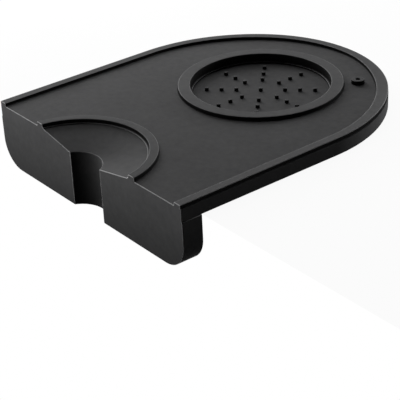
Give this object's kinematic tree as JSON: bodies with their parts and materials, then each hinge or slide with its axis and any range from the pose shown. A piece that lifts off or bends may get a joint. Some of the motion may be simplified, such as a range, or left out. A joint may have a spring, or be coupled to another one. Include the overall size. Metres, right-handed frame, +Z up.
{
  "type": "tamper mat",
  "caption": "Soft one-piece mat with a rounded back, raised rim, recessed round seat for a tamper, half-round dished rest at the front and an apron with an upright channel.",
  "frame": {"origin": "middle of the line where the plate's underside meets the apron's back face, which lies on the worktop's front edge", "axes": "+X to the right along the front edge, seen from the front; +Y back over the worktop; +Z up"},
  "size_m": [0.1308, 0.15, 0.0308],
  "materials": {
    "silicone": "matte black moulded silicone rubber"
  },
  "bodies": {
    "root": {"tamper_mat": "silicone"}
  },
  "joints": []
}
